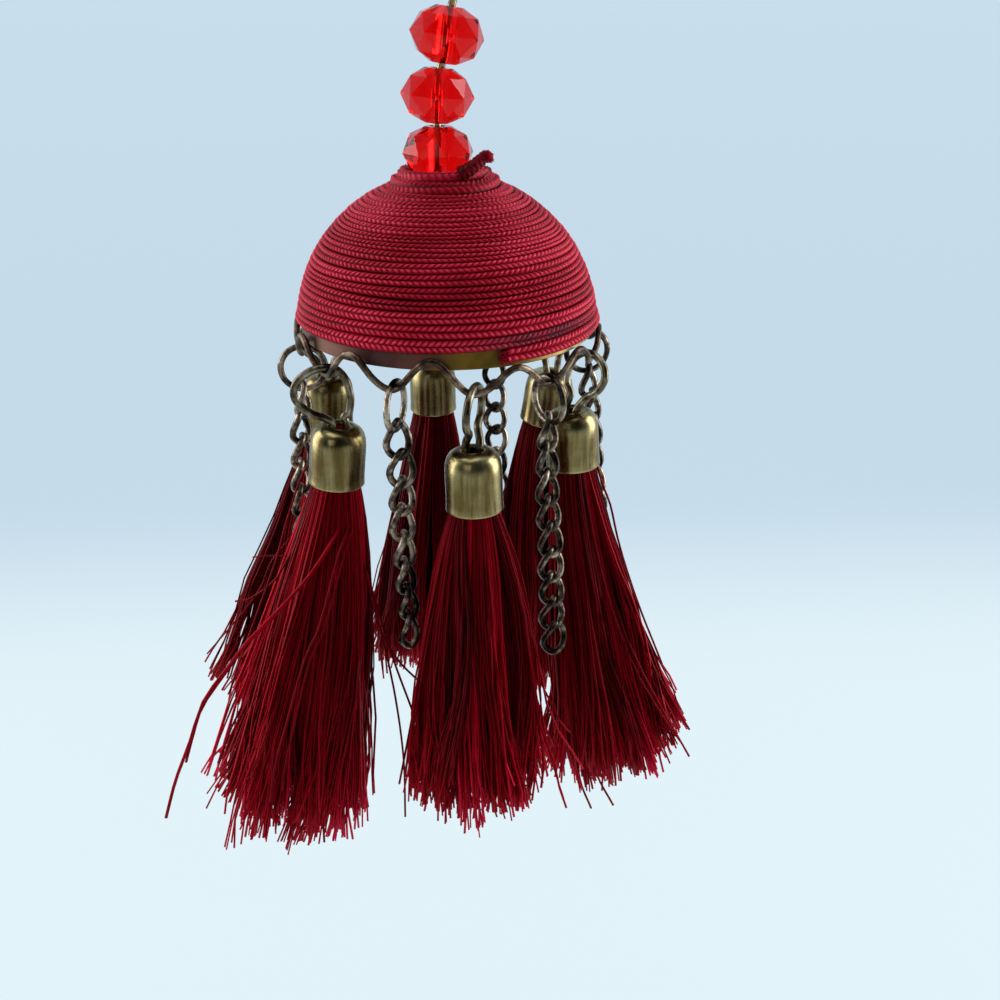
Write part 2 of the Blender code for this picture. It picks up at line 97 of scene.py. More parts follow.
def colour_ramp(material, factor, stops):
    """A colour ramp's colour, from a factor socket and (place, colour) stops."""
    ramp = add_node(material, "ValToRGB", Fac=factor)
    band = ramp.color_ramp
    while len(band.elements) < len(stops):
        band.elements.new(0.5)
    for element, (place, colour) in zip(band.elements, stops):
        element.position = place
        element.color = (*colour, 1.0)
    return ramp.outputs["Color"]


def drive(material, **sockets):
    """Links output sockets to the shader's sockets."""
    shader = material.node_tree.nodes["Principled BSDF"]
    for name, source in sockets.items():
        material.node_tree.links.new(source, shader.inputs[name.replace("_", " ")])


def mapped(material, scale):
    """Object coordinates, scaled on each axis."""
    place = add_node(material, "TexCoord").outputs["Object"]
    return add_node(material, "Mapping", Vector=place, Scale=scale).outputs["Vector"]


# The floor glows: its emission is painted light, pale near the ornament and dimming behind and far off; its
# own colour under the lamps is dark.
paper = new_material("floor_paper", Roughness=0.9, Specular_IOR_Level=0.2, Emission_Strength=1.0)
spot = mapped(paper, (1.0, 1.0, 0.0))
behind = add_node(paper, "MapRange", {"interpolation_type": "SMOOTHSTEP"}, i1=0.19, i2=0.37,
                  Value=add_node(paper, "SeparateXYZ", Vector=spot).outputs["Y"]).outputs["Result"]
distance = add_node(paper, "VectorMath", {"operation": "LENGTH"}, Vector=spot).outputs["Value"]
distant = add_node(paper, "MapRange", {"interpolation_type": "SMOOTHSTEP"}, Value=distance,
                   i1=0.45, i2=2.6).outputs["Result"]
painted_falloff = add_node(paper, "Math", {"operation": "MAXIMUM"}, i0=behind, i1=distant).outputs["Value"]
shaded = colour_ramp(paper, painted_falloff, [(0.0, (0.028, 0.033, 0.035)), (1.0, (0.02, 0.024, 0.028))])
glow = colour_ramp(paper, painted_falloff, [(0.0, (0.725, 0.845, 0.900)), (1.0, (0.540, 0.680, 0.785))])
drive(paper, Base_Color=shaded, Emission_Color=glow)
bm = bmesh.new()
bmesh.ops.create_circle(bm, cap_ends=True, segments=96, radius=FLOOR_RADIUS)
bmesh.ops.translate(bm, verts=bm.verts, vec=(0, 0, FLOOR_DEPTH))
floor_mesh = bpy.data.meshes.new("floor")
bm.to_mesh(floor_mesh)
floor_mesh.materials.append(paper)
floor = bpy.data.objects.new("floor", floor_mesh)
bpy.context.collection.objects.link(floor)

world = bpy.data.worlds.new("studio")
bpy.context.scene.world = world
world.use_nodes = True
sky = world.node_tree
direction = sky.nodes.new("ShaderNodeTexCoord").outputs["Generated"]
parts = sky.nodes.new("ShaderNodeSeparateXYZ")
sky.links.new(direction, parts.inputs["Vector"])
front_to_back = sky.nodes.new("ShaderNodeMapRange")
front_to_back.interpolation_type = "SMOOTHSTEP"
front_to_back.inputs["From Min"].default_value = -0.75
front_to_back.inputs["From Max"].default_value = 0.55
front_to_back.inputs["To Min"].default_value = 0.04
front_to_back.inputs["To Max"].default_value = 1.0
sky.links.new(parts.outputs["Y"], front_to_back.inputs["Value"])
seen = sky.nodes.new("ShaderNodeLightPath")
strength = sky.nodes.new("ShaderNodeMath")
strength.operation = "MAXIMUM"
sky.links.new(seen.outputs["Is Camera Ray"], strength.inputs[0])
sky.links.new(front_to_back.outputs["Result"], strength.inputs[1])
sky.nodes["Background"].inputs["Color"].default_value = (0.577, 0.730, 0.838, 1.0)
sky.links.new(strength.outputs["Value"], sky.nodes["Background"].inputs["Strength"])

SOFT_BOXES = [
    # name, place, aimed at (metres), width, height, watts
    ("soft_box_left", (-0.34, 0.06, 0.02), (0.0, 0.0, -0.05), 0.24, 0.34, 1.10),
    ("soft_box_right", (0.36, 0.04, 0.03), (0.0, 0.0, -0.05), 0.22, 0.34, 1.50),
    ("soft_box_over", (-0.05, -0.03, 0.36), (0.0, 0.0, -0.04), 0.30, 0.30, 0.42),
    ("soft_box_front", (-0.16, -0.34, 0.10), (0.0, 0.0, -0.05), 0.16, 0.20, 0.10),
]
for name, place, aim, width, height, watts in SOFT_BOXES:
    lamp = bpy.data.lights.new(name, "AREA")
    lamp.shape = "RECTANGLE"
    lamp.size, lamp.size_y, lamp.energy = width, height, watts
    lamp.color = (0.96, 0.98, 1.0)
    box = bpy.data.objects.new(name, lamp)
    bpy.context.collection.objects.link(box)
    box.location = place
    box.rotation_euler = (Vector(aim) - Vector(place)).to_track_quat("-Z", "Y").to_euler()


# ---- the dome -------------------------------------------------------------------
# A stamped brass cup with a plain upright rim. Heat and handling have stained it pink,
# purple and olive; all but the rim's edge is hidden under the cord.

RIM_DROP = 42.05 * MM
DOME_RADIUS, DOME_HEIGHT, DOME_WALL = 16.75 * MM, 16.65 * MM, 0.50 * MM
DOME_HOLE_RADIUS = 1.40 * MM
FLARE_RADIUS, FLARE_HEIGHT = 17.35 * MM, 2.40 * MM
FLARE_ROOT = math.asin(FLARE_HEIGHT / DOME_HEIGHT)
PROFILE_STEPS, DOME_STEPS = 24, 128
EVEN = (1.0, 1.0, 1.0)


def add_piece(name, bm, material, body, replaced, smooth_to=40.0):
    """Makes a finished mesh into a piece that rides on a body and stands for CAD nodes."""
    mesh = bpy.data.meshes.new(name)
    bm.to_mesh(mesh)
    bm.free()
    mesh.materials.append(material)
    mesh.shade_smooth()
    mesh.set_sharp_from_angle(angle=math.radians(smooth_to))
    piece = bpy.data.objects.new(name, mesh)
    bpy.context.collection.objects.link(piece)
    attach(piece, body)
    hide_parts(*replaced)
    return piece


def spun(profile, steps):
    """A closed (radius, height) profile spun round Z."""
    bm = bmesh.new()
    corners = [bm.verts.new((radius, 0.0, height)) for radius, height in profile]
    for one, other in zip(corners, corners[1:] + corners[:1]):
        bm.edges.new((one, other))
    bmesh.ops.spin(bm, geom=bm.verts[:] + bm.edges[:], cent=(0, 0, 0), axis=(0, 0, 1),
                   angle=math.tau, steps=steps, use_merge=True, use_duplicate=False)
    bmesh.ops.remove_doubles(bm, verts=bm.verts, dist=0.0005 * MM)
    bmesh.ops.recalc_face_normals(bm, faces=bm.faces)
    return bm


def dome_point(up, offset):
    """Radius and rim height at a distance up the dome from its flare, stood off the metal."""
    if up < 0:
        foot = Vector((DOME_RADIUS * math.cos(FLARE_ROOT), FLARE_HEIGHT))
        down = (Vector((FLARE_RADIUS, 0.0)) - foot).normalized()
        out = Vector((-down.y, down.x))
        place = foot - down * up + out * offset
        return place.x, place.y
    angle = FLARE_ROOT + 2 * up / (DOME_RADIUS + DOME_HEIGHT)
    out = Vector((math.cos(angle) / DOME_RADIUS, math.sin(angle) / DOME_HEIGHT)).normalized()
    return (DOME_RADIUS * math.cos(angle) + offset * out.x,
            DOME_HEIGHT * math.sin(angle) + offset * out.y)


def noise(material, place, scale, detail, roughness=0.5):
    """Cloudy noise over a place on the piece."""
    return add_node(material, "TexNoise", Vector=place, Scale=scale, Detail=detail,
                    Roughness=roughness).outputs["Fac"]


def mixed_in(material, source, amount, base):
    """So much of a source added to a base."""
    return add_node(material, "Math", {"operation": "MULTIPLY_ADD"}, i0=source, i1=amount,
                    i2=base).outputs["Value"]


def ranged(material, value, low, high, to_low=0.0, to_high=1.0):
    """A value carried from one range to another and held inside it."""
    return add_node(material, "MapRange", Value=value, i1=low, i2=high, i3=to_low,
                    i4=to_high).outputs["Result"]


def relief(material, height, distance, strength):
    """Fine relief, too small to model."""
    return add_node(material, "Bump", Height=height, Distance=distance, Strength=strength).outputs["Normal"]


def worn_metal(name, patina, metal, bright, grain, streaks, amounts, roughness, bump):
    """Aged metal: patina, metal and rubbed metal, mixed by patches, scratches and edges."""
    material = new_material(name, Metallic=1.0)
    patches = noise(material, mapped(material, EVEN), grain, 6.0, 0.62)
    scratches = noise(material, mapped(material, streaks), 1.0, 3.0, 0.7)
    rubbed = ranged(material, add_node(material, "NewGeometry").outputs["Pointiness"], 0.50, 0.60)
    worn = 0.5 - 0.5 * (amounts[0] + amounts[1])
    for source, amount in zip((patches, scratches, rubbed), amounts):
        worn = mixed_in(material, source, amount, worn)
    drive(material, Base_Color=colour_ramp(material, worn, [(0.25, patina), (0.50, metal), (0.80, bright)]),
          Roughness=ranged(material, patches, 0.3, 0.7, *roughness),
          Normal=relief(material, mixed_in(material, patches, 0.6, scratches), bump, 0.5))
    return material


stained_brass = worn_metal("stained_brass", (0.055, 0.03, 0.03), (0.28, 0.19, 0.09), (0.52, 0.40, 0.22),
                           420.0, (300.0, 300.0, 2600.0), (1.2, 0.5, 0.2), (0.36, 0.55), 0.02 * MM)
metal_colour = stained_brass.node_tree.nodes["Principled BSDF"].inputs["Base Color"].links[0].from_socket
across = add_node(stained_brass, "SeparateXYZ",
                  Vector=add_node(stained_brass, "TexCoord").outputs["Object"]).outputs["X"]
blotch = noise(stained_brass, mapped(stained_brass, EVEN), 230.0, 3.0)
wander = mixed_in(stained_brass, blotch, 5.0 * MM, across)
stain = colour_ramp(stained_brass, ranged(stained_brass, wander, -15.0 * MM, 16.0 * MM), [
    (0.0, (0.055, 0.014, 0.011)), (0.20, (0.044, 0.010, 0.009)), (0.33, (0.07, 0.022, 0.030)),
    (0.50, (0.16, 0.055, 0.045)), (0.60, (0.40, 0.22, 0.03)), (0.72, (0.36, 0.20, 0.03)),
    (1.0, (0.20, 0.13, 0.05))])
tinted = add_node(stained_brass, "Mix", {"data_type": "RGBA"}, i0=0.93, i6=metal_colour, i7=stain)
drive(stained_brass, Base_Color=tinted.outputs[2])

reach = 0.5 * (DOME_RADIUS + DOME_HEIGHT) * (math.acos(DOME_HOLE_RADIUS / DOME_RADIUS) - FLARE_ROOT)
outer = [dome_point(reach * i / PROFILE_STEPS, 0.0) for i in range(PROFILE_STEPS, -1, -1)]
inner = [dome_point(reach * i / PROFILE_STEPS, -DOME_WALL) for i in range(PROFILE_STEPS)]
inner.append((DOME_HOLE_RADIUS, dome_point(reach, -DOME_WALL)[1]))
edge = FLARE_RADIUS - 0.5 * DOME_WALL
lip = [(FLARE_RADIUS - 0.02 * MM, 0.12 * MM), (edge + 0.12 * MM, 0.02 * MM), (edge, 0.0),
       (edge - 0.12 * MM, 0.02 * MM), (FLARE_RADIUS - DOME_WALL, 0.12 * MM)]
profile = [(radius, height - RIM_DROP) for radius, height in outer + lip + inner]
add_piece("dome_shell_brass", spun(profile, DOME_STEPS), stained_brass,
          "ornament", ["dome_shell"])


# ---- the cord on the dome ---------------------------------------------------------
# One length of crimson braid, glued down in a spiral of seventeen turns from the rim to the top.
# Two lines of slanting stitches make a chevron along it. It is cut square at the front of the rim.

CORD_TURNS = 17.15
CORD_START_AZIMUTH = math.radians(-69.5)
CORD_RISE = [
    # turns, up_mm
    (0.0, -2.09), (4.0, 3.65), (8.0, 8.45), (12.0, 12.60), (15.0, 16.00), (17.1, 19.20), (18.1, 20.00)]
CORD_STACK, CORD_CLIMB = 0.60 * MM, 0.60 * MM
CORD_LINING, CORD_MIDDLE = 0.30 * MM, 0.8 * MM
CORD_EDGE, LANE_CROWN, STITCH_CROWN = 0.84, 0.13, 0.22
STITCH, CHEVRON = 0.66 * MM, 0.62 * MM
# Across the cord: share of its width, and for the last two its lining against the dome
ACROSS = (0.0, 0.09, 0.25, 0.41, 0.5, 0.59, 0.75, 0.91, 1.0, 1.0, 0.0)
FIRST_LINING = 9
STITCH_SWELL = (1.0, 0.82, 0.0, 0.60)
STAINS = [
    # turns, half_length_turns, strength
    (1.045, 0.13, 1.0), (0.125, 0.05, 0.5)]


def at_rim(x, y, above_rim):
    """A point from its height above the rim's edge."""
    return Vector((x, y, above_rim - RIM_DROP))


def ease(share):
    """Smooth step from 0 to 1."""
    share = min(1.0, max(0.0, share))
    return share * share * (3 - 2 * share)


def cord_rise(turns):
    """Distance up the dome of the cord's lower edge after so many turns."""
    last = len(CORD_RISE) - 1
    stretch = max(i for i in range(last) if turns >= CORD_RISE[i][0] or i == 0)
    (start, low), (end, high) = CORD_RISE[stretch], CORD_RISE[stretch + 1]
    return MM * (low + (high - low) * (turns - start) / (end - start))


def cord_wander(turns):
    """How far the glued cord strays up or down from an even spiral."""
    held = ease(turns / 1.2) * (1.0 - ease((turns - 15.6) / 1.0))
    return 0.11 * MM * held * (math.sin(7.3 * turns) + 0.7 * math.sin(17.1 * turns + 1.3))


def braid_height(share, swell):
    """How far the braid stands off the dome at a share of its width, on or between stitches."""
    lane = 1.0 - abs((share % 0.5) * 4.0 - 1.0)
    return MM * (CORD_EDGE + lane ** 0.52 * (LANE_CROWN + STITCH_CROWN * swell))


def cord_lift(turns):
    """How far the last turn and its end ride up off the dome."""
    return CORD_STACK * ease((turns - 16.0) / 0.5) + CORD_CLIMB * ease((turns - 17.0) / 0.12)


def lay_rows(rows, layers, strand=None):
    """A grid laid through closed rows of points, its seam welded and its ends filled.

    layers holds lists of numbers or vectors, one for each point, to keep on the mesh.
    strand is the number of rows in each separate strand, where there are many.
    """
    around, count = len(rows[0]), len(rows)
    bm = bmesh.new()
    bmesh.ops.create_grid(bm, x_segments=around, y_segments=count - 1, size=1.0)
    kept = []
    for name, values in layers.items():
        vector = isinstance(values[0][0], Vector)
        kept.append(((bm.verts.layers.float_vector if vector else bm.verts.layers.float).new(name), values))
    for number, vert in enumerate(bm.verts):
        row, place = divmod(number, around + 1)
        vert.co = rows[row][place % around]
        for layer, values in kept:
            vert[layer] = values[row][place % around]
    if strand:
        between = [face for number, face in enumerate(bm.faces)
                   if (number // around) % strand == strand - 1]
        bmesh.ops.delete(bm, geom=between, context="FACES")
    bmesh.ops.remove_doubles(bm, verts=bm.verts, dist=0.0001 * MM)
    bmesh.ops.holes_fill(bm, edges=[e for e in bm.edges if e.is_boundary], sides=around)
    bmesh.ops.recalc_face_normals(bm, faces=bm.faces)
    return bm


def braided_yarn(name):
    """Crimson viscose braid: fine fibres, painted shade between its stitches and rows, a painted pinkish
    highlight on their crowns, and brown where stained.
    """
    material = new_material(name, IOR=1.22, Metallic=0.12, Specular_IOR_Level=0.8,
                            Specular_Tint=(1.0, 0.36, 0.46, 1.0))
    place = add_node(material, "Attribute", {"attribute_name": "braid"}).outputs["Vector"]
    # The braid attribute's third value is painted shade: low in the valleys between stitches and rows, high
    # on the crowns.
    painted_relief_shade = add_node(material, "SeparateXYZ", Vector=place).outputs["Z"]
    along = add_node(material, "Mapping", Vector=place, Scale=(6.5, 1.6, 0.0)).outputs["Vector"]
    fibre = noise(material, along, 1.0, 2.0, 0.6)
    blotch = noise(material, mapped(material, EVEN), 190.0, 4.0)
    deep = mixed_in(material, fibre, 0.30, mixed_in(material, painted_relief_shade, 0.75, -0.05))
    # The ramp's low stops are painted shade in the valleys; its top stop is a painted pinkish highlight on
    # the stitch crowns.
    yarn = colour_ramp(material, mixed_in(material, blotch, 0.30, deep), [
        (0.20, (0.055, 0.0002, 0.0015)), (0.45, (0.22, 0.0006, 0.006)), (0.74, (0.42, 0.0025, 0.018)),
        (1.0, (0.74, 0.05, 0.095))])
    soil = add_node(material, "Attribute", {"attribute_name": "soil"}).outputs["Fac"]
    patchy = add_node(material, "Math", {"operation": "MULTIPLY"}, i0=ranged(material, soil, 0.25, 1.0),
                      i1=ranged(material, blotch, 0.32, 0.55)).outputs["Value"]
    dirty = add_node(material, "Mix", {"data_type": "RGBA"}, i0=patchy, i6=yarn,
                     i7=(0.085, 0.022, 0.035, 1.0)).outputs[2]
    drive(material, Base_Color=dirty, Roughness=ranged(material, fibre, 0.3, 0.7, 0.35, 0.56),
          Normal=relief(material, fibre, 0.06 * MM, 0.8))
    return material


crimson_braid = braided_yarn("crimson_braid")
rows, marks, soils = [], [], []
turns, column = 0.0, 0
while turns < CORD_TURNS:
    radius = dome_point(cord_rise(turns + 0.5), CORD_MIDDLE)[0]
    tight = 0.008 + 0.12 * max(0.0, math.sin(5.1 * turns + 2.0 * math.sin(1.7 * turns))) ** 6
    lift = 0.05 * MM * math.sin(9.3 * turns + 1.3 * math.sin(4.1 * turns))
    row, mark = [], []
    for number, share in enumerate(ACROSS):
        lining = number >= FIRST_LINING
        lane = int(share >= 0.5)
        swell = STITCH_SWELL[(column + 2 * lane) % 4]
        lead = CHEVRON * 2.0 * abs(share - 0.5) / (math.tau * radius) * min(1.0, turns / 0.015)
        here = min(turns + lead, CORD_TURNS)
        azimuth = CORD_START_AZIMUTH + math.tau * here
        drawn = share if lining else 0.5 + (share - 0.5) * (1.0 - tight)
        low = cord_rise(here) + cord_wander(here)
        high = cord_rise(here + 1.0) + cord_wander(here + 1.0)
        off = CORD_LINING if lining else braid_height(share, swell) + lift * (1.0 - abs(2 * share - 1))
        out, height = dome_point(low + (high - low) * drawn, off + cord_lift(here + drawn))
        row.append(at_rim(out * math.cos(azimuth), out * math.sin(azimuth), height))
        crown = (off / MM - CORD_EDGE) / (LANE_CROWN + STITCH_CROWN)
        # Painted shade: low in the valleys between stitches and at the row edges, lower still where rows are
        # pulled tight, high on the crowns.
        painted_relief_shade = 0.0 if lining else 0.14 * (1.0 - 10.0 * tight) + 0.86 * crown
        mark.append(Vector((column / 4.0 + 0.5 * lane, share * 1.4 + 3.0 * math.floor(turns), painted_relief_shade)))
    rows.append(row)
    marks.append(mark)
    soiled = sum(strong * max(0.0, 1.0 - abs(turns - at) / half) for at, half, strong in STAINS)
    soils.append([soiled] * len(ACROSS))
    turns += STITCH / 4.0 / (math.tau * radius)
    column += 1
add_piece("dome_braid", lay_rows(rows, {"braid": marks, "soil": soils}), crimson_braid,
          "ornament", ["dome_cord"], 80.0)


def smooth_path(points, steps):
    """Points along a curve through the given ones."""
    padded = [2 * points[0] - points[1], *points, 2 * points[-1] - points[-2]]
    path = []
    for before, start, end, after in zip(padded, padded[1:], padded[2:], padded[3:]):
        for i in range(steps):
            t = i / steps
            path.append(0.5 * (2 * start + (end - before) * t
                               + (2 * before - 5 * start + 4 * end - after) * t ** 2
                               + (3 * start - before - 3 * end + after) * t ** 3))
    return path + [points[-1]]


def round_rows(path, radius, sides, hint=Vector((0.0, 1.0, 0.0))):
    """Rows of points round a path. radius takes the share of the way along and the angle."""
    rows, last, side = [], len(path) - 1, hint
    angles = [math.tau * k / sides for k in range(sides)]
    for i, centre in enumerate(path):
        along = (path[min(i + 1, last)] - path[max(i - 1, 0)]).normalized()
        side = (side - along * side.dot(along)).normalized()
        other = along.cross(side)
        rows.append([centre + radius(i / last, angle) * (side * math.cos(angle) + other * math.sin(angle))
                     for angle in angles])
    return rows


# The cord's upper end is lifted off the dome, folded over and left standing beside the beads.
TAIL_SIDES = 16
TAIL_ROUTE = [
    # x_mm, y_mm, above_rim_mm
    (1.55, -4.35, 18.10), (2.30, -4.38, 18.45), (3.15, -4.22, 18.98), (3.88, -3.98, 19.55),
    (4.40, -3.82, 19.95), (4.66, -3.86, 19.98), (4.74, -4.05, 19.78), (4.52, -4.22, 19.50)]
path = smooth_path([at_rim(x * MM, y * MM, z * MM) for x, y, z in TAIL_ROUTE], 10)


def tail_radius(share, angle):
    """The tail's lumpy radius, which thins to its cut end."""
    lobe = abs(math.cos(angle + 40.0 * share)) ** 0.7 + abs(math.sin(2.0 * angle - 58.0 * share)) ** 0.7
    end = min(1.0, 6.0 * (1.03 - share))
    return MM * (0.82 - 0.36 * share) * (0.72 + 0.20 * lobe) * end


rows = round_rows(path, tail_radius, TAIL_SIDES)
count = len(rows)
# Each mark's third value is painted shade: darker towards the tail's root, lighter towards its cut end, with
# stripes along its twist.
marks = [[Vector((14.0 * i / count + 0.5 * (k % 4), 0.35 * k,
                  0.75 * (i / count) ** 2.5 + 0.10 * math.sin(1.6 * k + 0.9 * i)))
          for k in range(TAIL_SIDES)] for i in range(count)]
add_piece("cord_tail_braid", lay_rows(rows, {"braid": marks, "soil": [[0.0] * TAIL_SIDES] * count}),
          crimson_braid, "ornament", ["cord_tail"], 80.0)

# Both cut ends of the cord are a little frayed
FIBRE_RADIUS, FIBRE_SIDES, FIBRE_POINTS = 0.055 * MM, 5, 4
draw = random.Random(11)
frays = []
radius = dome_point(cord_rise(0.5), CORD_MIDDLE)[0]
for _ in range(34):
    up, turn = draw.uniform(0.08, 0.92), draw.uniform(0.0, 0.9) * MM / radius
    out, height = dome_point(cord_rise(up), draw.uniform(0.45, 1.05) * MM)
    droop = draw.uniform(0.0, 0.55)
    places = [(0.03, 0.0), (0.0, 0.2), (-0.6 * turn, 0.5), (-turn, 1.2)]
    frays.append([at_rim(out * math.cos(CORD_START_AZIMUTH + on), out * math.sin(CORD_START_AZIMUTH + on),
                         height - droop * fall * MM) for on, fall in places])
for _ in range(16):
    aim = Vector((draw.uniform(0.1, 0.9), draw.uniform(-0.8, 0.3), draw.uniform(-0.3, 0.7))) * 0.55 * MM
    root = path[-8] + 0.4 * Vector((draw.gauss(0, 1), draw.gauss(0, 1), draw.gauss(0, 1))) * 0.5 * MM
    frays.append([root, root + 0.5 * aim, root + aim, root + 1.4 * aim - Vector((0, 0, 0.1 * MM))])
rows = []
for fray in frays:
    rows += round_rows(fray, lambda share, angle: FIBRE_RADIUS * (1.0 - 0.3 * share), FIBRE_SIDES,
                       Vector((0.2, 0.3, 0.93)))
marks = [[Vector((0.7 * i, 0.9 * k, 0.62)) for k in range(FIBRE_SIDES)] for i in range(len(rows))]
soils = [[0.0] * FIBRE_SIDES] * len(rows)
add_piece("frayed_ends", lay_rows(rows, {"braid": marks, "soil": soils}, FIBRE_POINTS),
          crimson_braid, "ornament", [], 80.0)


# ---- the wavy wire on the rim -------------------------------------------------------
# One bronze wire bent into twelve waves and soldered round the rim. Its troughs carry the
# tassels' loops and the chains' rings by turns.

WAVE_COUNT = 12
WAVE_WIRE_RADIUS = 0.375 * MM
WAVE_RADIUS, WAVE_DRAW_IN = 18.03 * MM, 0.53 * MM
WAVE_CREST_RIM, WAVE_TROUGH_RIM = 1.30 * MM, -2.35 * MM
LOW_TROUGHS_RIM = {0: -2.70 * MM, 1: -2.80 * MM, 2: -2.55 * MM}
FIRST_TROUGH_AZIMUTH = math.radians(-81.0)
CORD_VALLEY, CREST_ROOM = 0.78 * MM, 0.675 * MM
WAVE_STEPS = 264


def wave_point(azimuth):
    """Centre of the wavy wire at an azimuth."""
    wave = math.tau / WAVE_COUNT
    from_trough = (azimuth - FIRST_TROUGH_AZIMUTH) / wave
    crest_azimuth = FIRST_TROUGH_AZIMUTH + (math.floor(from_trough) + 0.5) * wave
    turn = ((crest_azimuth - CORD_START_AZIMUTH) / math.tau) % 1.0
    crest = min(WAVE_CREST_RIM, dome_point(cord_rise(turn), CORD_VALLEY)[1] - CREST_ROOM)
    lift = -math.cos(math.tau * from_trough)
    trough = LOW_TROUGHS_RIM.get(round(from_trough) % WAVE_COUNT, WAVE_TROUGH_RIM)
    height = trough + (crest - trough) * 0.5 * (1 + lift)
    radius = WAVE_RADIUS - WAVE_DRAW_IN * max(0.0, -lift) ** 1.5
    return at_rim(radius * math.cos(azimuth), radius * math.sin(azimuth), height)


def wire(paths, radius, cyclic=False, resolution=3):
    """Round wire bent along each path, its ends closed and its seams welded."""
    curve = bpy.data.curves.new("wire", "CURVE")
    curve.dimensions = "3D"
    curve.bevel_depth, curve.bevel_resolution, curve.use_fill_caps = radius, resolution, True
    for path in paths:
        spline = curve.splines.new("POLY")
        spline.points.add(len(path) - 1)
        for point, place in zip(spline.points, path):
            point.co = (*place, 1.0)
        spline.use_cyclic_u = cyclic
    bent = bpy.data.objects.new("wire", curve)
    mesh = bpy.data.meshes.new_from_object(bent)
    bm = bmesh.new()
    bm.from_mesh(mesh)
    bpy.data.objects.remove(bent)
    bpy.data.curves.remove(curve)
    bpy.data.meshes.remove(mesh)
    bmesh.ops.remove_doubles(bm, verts=bm.verts, dist=0.001 * MM)
    bmesh.ops.recalc_face_normals(bm, faces=bm.faces)
    return bm


rim_bronze = worn_metal("rim_bronze", (0.020, 0.012, 0.008), (0.095, 0.056, 0.036), (0.36, 0.26, 0.175),
                        420.0, (1500.0, 1500.0, 1500.0), (1.6, 0.6, 0.0), (0.32, 0.52), 0.015 * MM)
path = [wave_point(FIRST_TROUGH_AZIMUTH + math.tau * i / WAVE_STEPS) for i in range(WAVE_STEPS)]
add_piece("rim_wave_wire", wire([path], WAVE_WIRE_RADIUS, True), rim_bronze,
          "ornament", ["rim_wave"], 60.0)


# ---- the hang wire ------------------------------------------------------------------
# One brass wire. A flat foot holds it under the dome; it comes up through the dome and the
# three beads, and is bent round into the eye that the ornament hangs by.

STEM_RADIUS = 0.45 * MM
EYE_RADIUS = 3.40 * MM
EYE_FROM, EYE_TO = math.radians(-62.0), math.radians(261.0)
FOOT_LENGTH = 2.40 * MM
BEAD_GRIP = 1.7484 * MM
FOOT_ROOM = 0.40 * MM
EYE_STEPS = 12
BEADS = [
    # name, x_mm, above_rim_mm, lean_deg
    ("bead_1", 0.47, 31.92, 7.5),
    ("bead_2", -0.69, 25.86, 4.0),
    ("bead_3", -0.75, 19.87, 0.5),
]

under_dome = DOME_HEIGHT - DOME_WALL - STEM_RADIUS - FOOT_ROOM
route = [
    at_rim(FOOT_LENGTH, 0, under_dome),
    at_rim(0.5 * FOOT_LENGTH, 0, under_dome),
    at_rim(0.20 * MM, 0, under_dome + 0.02 * MM),
    at_rim(-0.38 * MM, 0, under_dome + 0.34 * MM),
    at_rim(-0.60 * MM, 0, under_dome + 1.00 * MM),
]
for name, x, above_rim, lean in reversed(BEADS):
    axis = Vector((math.sin(math.radians(lean)), 0, math.cos(math.radians(lean))))
    centre = at_rim(x * MM, 0, above_rim * MM)
    route += [centre - axis * BEAD_GRIP, centre + axis * BEAD_GRIP]
eye = []
for i in range(EYE_STEPS + 1):
    angle = EYE_FROM + (EYE_TO - EYE_FROM) * i / EYE_STEPS
    eye.append(Vector((0, 0, STEM_RADIUS - EYE_RADIUS))
               + EYE_RADIUS * Vector((math.cos(angle), 0, math.sin(angle))))
neck = route[-1].lerp(eye[0], 0.55) + Vector((-0.10 * MM, 0, 0.05 * MM))
wire_brass = worn_metal("wire_brass", (0.10, 0.06, 0.03), (0.36, 0.27, 0.15), (0.62, 0.52, 0.36),
                        500.0, (1800.0, 1800.0, 500.0), (1.2, 0.6, 0.0), (0.22, 0.42), 0.015 * MM)
add_piece("hang_wire_brass", wire([smooth_path(route + [neck] + eye, 6)], STEM_RADIUS), wire_brass,
          "ornament", ["hang_wire"], 60.0)


# ---- the beads ----------------------------------------------------------------------
# Three faceted rondelles of clear glass coloured red right through, so that they are paler
# at their thin edges. Each is free to turn on the wire.

red_glass = new_material("red_glass", Transmission_Weight=1.0, IOR=1.27, Base_Color=(1.0, 0.88, 0.90, 1.0))
smear = noise(red_glass, mapped(red_glass, EVEN), 500.0, 4.0)
drive(red_glass, Roughness=ranged(red_glass, smear, 0.35, 0.75, 0.0, 0.06),
      Normal=relief(red_glass, smear, 0.01 * MM, 0.25))
body_colour = add_node(red_glass, "VolumeAbsorption", Color=(1.0, 0.05, 0.035, 1.0), Density=900.0)
red_glass.node_tree.links.new(body_colour.outputs["Volume"],
                              red_glass.node_tree.nodes["Material Output"].inputs["Volume"])
for name, *_ in BEADS:
    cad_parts[name].material_slots[0].material = red_glass


# ---- the tassels' wire loops -----------------------------------------------------------
# A short brass wire bent to a teardrop: its arch hangs in a trough of the wavy wire and its
# two ends go down through the cap, where they hold the silk.

